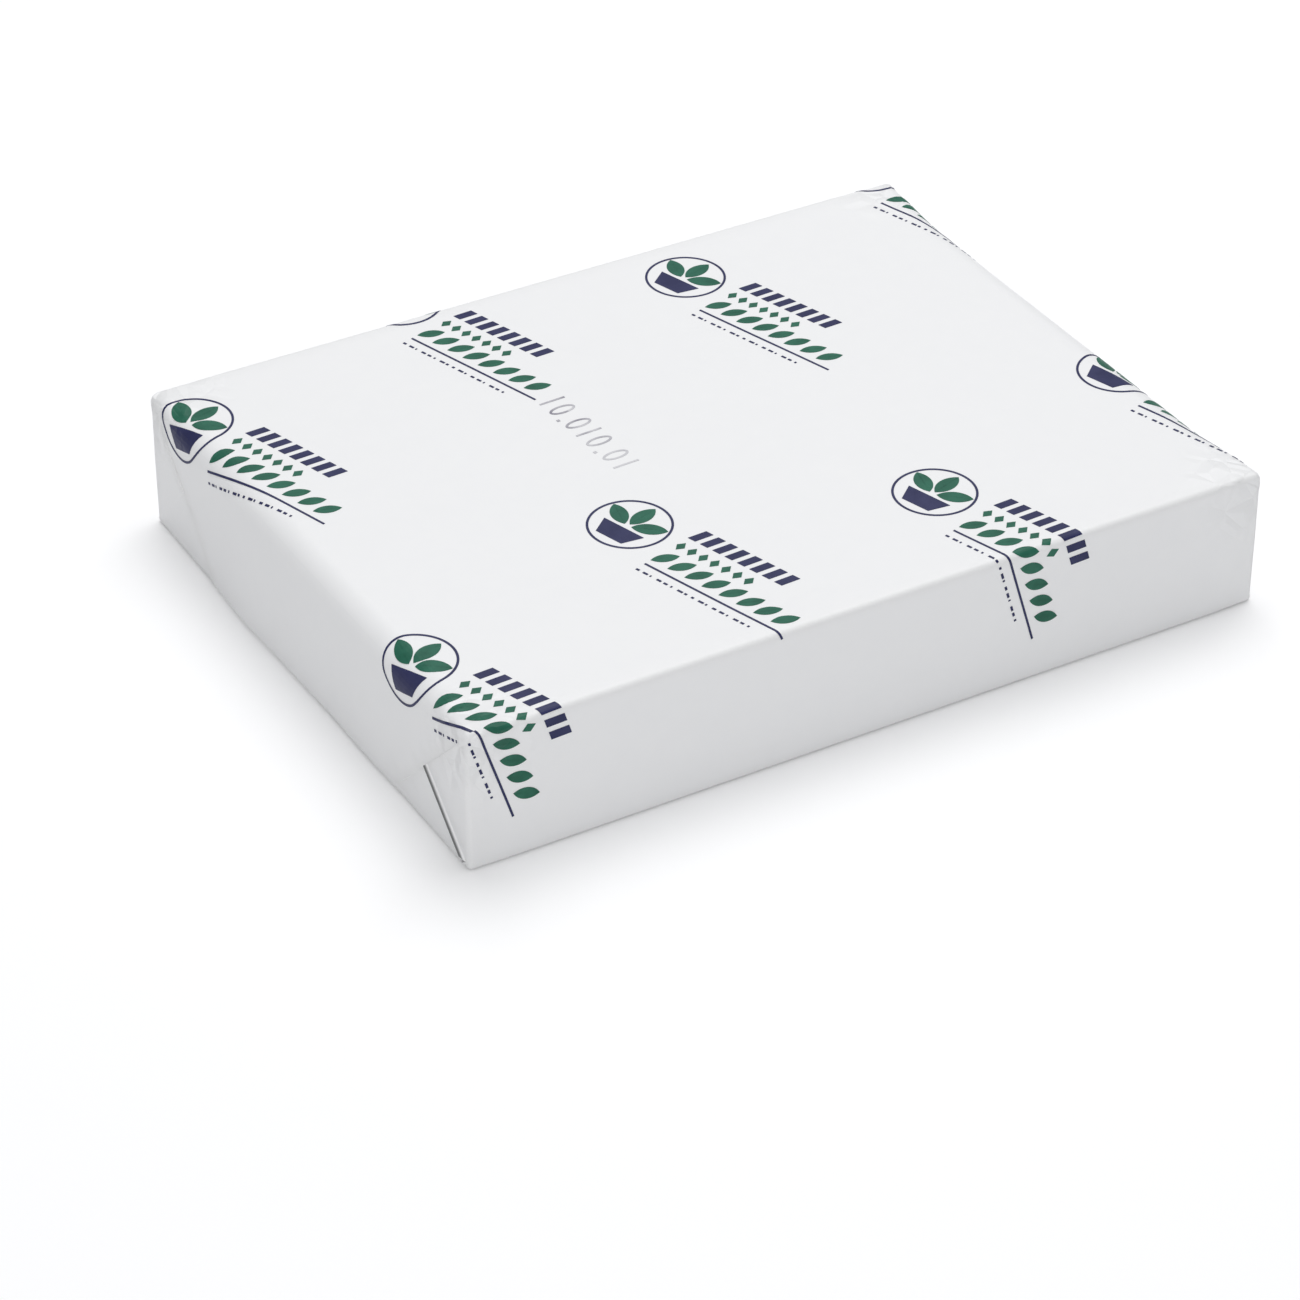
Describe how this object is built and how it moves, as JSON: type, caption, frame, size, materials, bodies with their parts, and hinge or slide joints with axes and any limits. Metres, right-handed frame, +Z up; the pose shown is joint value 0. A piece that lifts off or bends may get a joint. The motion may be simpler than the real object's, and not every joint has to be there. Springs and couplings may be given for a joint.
{
  "type": "ream of paper",
  "caption": "Sealed ream of letter-size copy paper: a flat rectangular pack in a white glued paper wrapper with mitred end folds and a small repeated print.",
  "frame": {"origin": "centre of the pack's underside, where it rests", "axes": "+X along the long edges, +Y across towards the far long side, +Z up through the stack"},
  "size_m": [0.285, 0.2172, 0.0487],
  "materials": {
    "wrapper_paper": "smooth coated white paper, faint sheen",
    "navy_ink": "navy ink printed on the wrapper",
    "green_ink": "dark green ink printed on the wrapper"
  },
  "bodies": {
    "root": {"wrapped_ream": "wrapper_paper", "navy_print": "navy_ink", "green_print": "green_ink"}
  },
  "joints": []
}
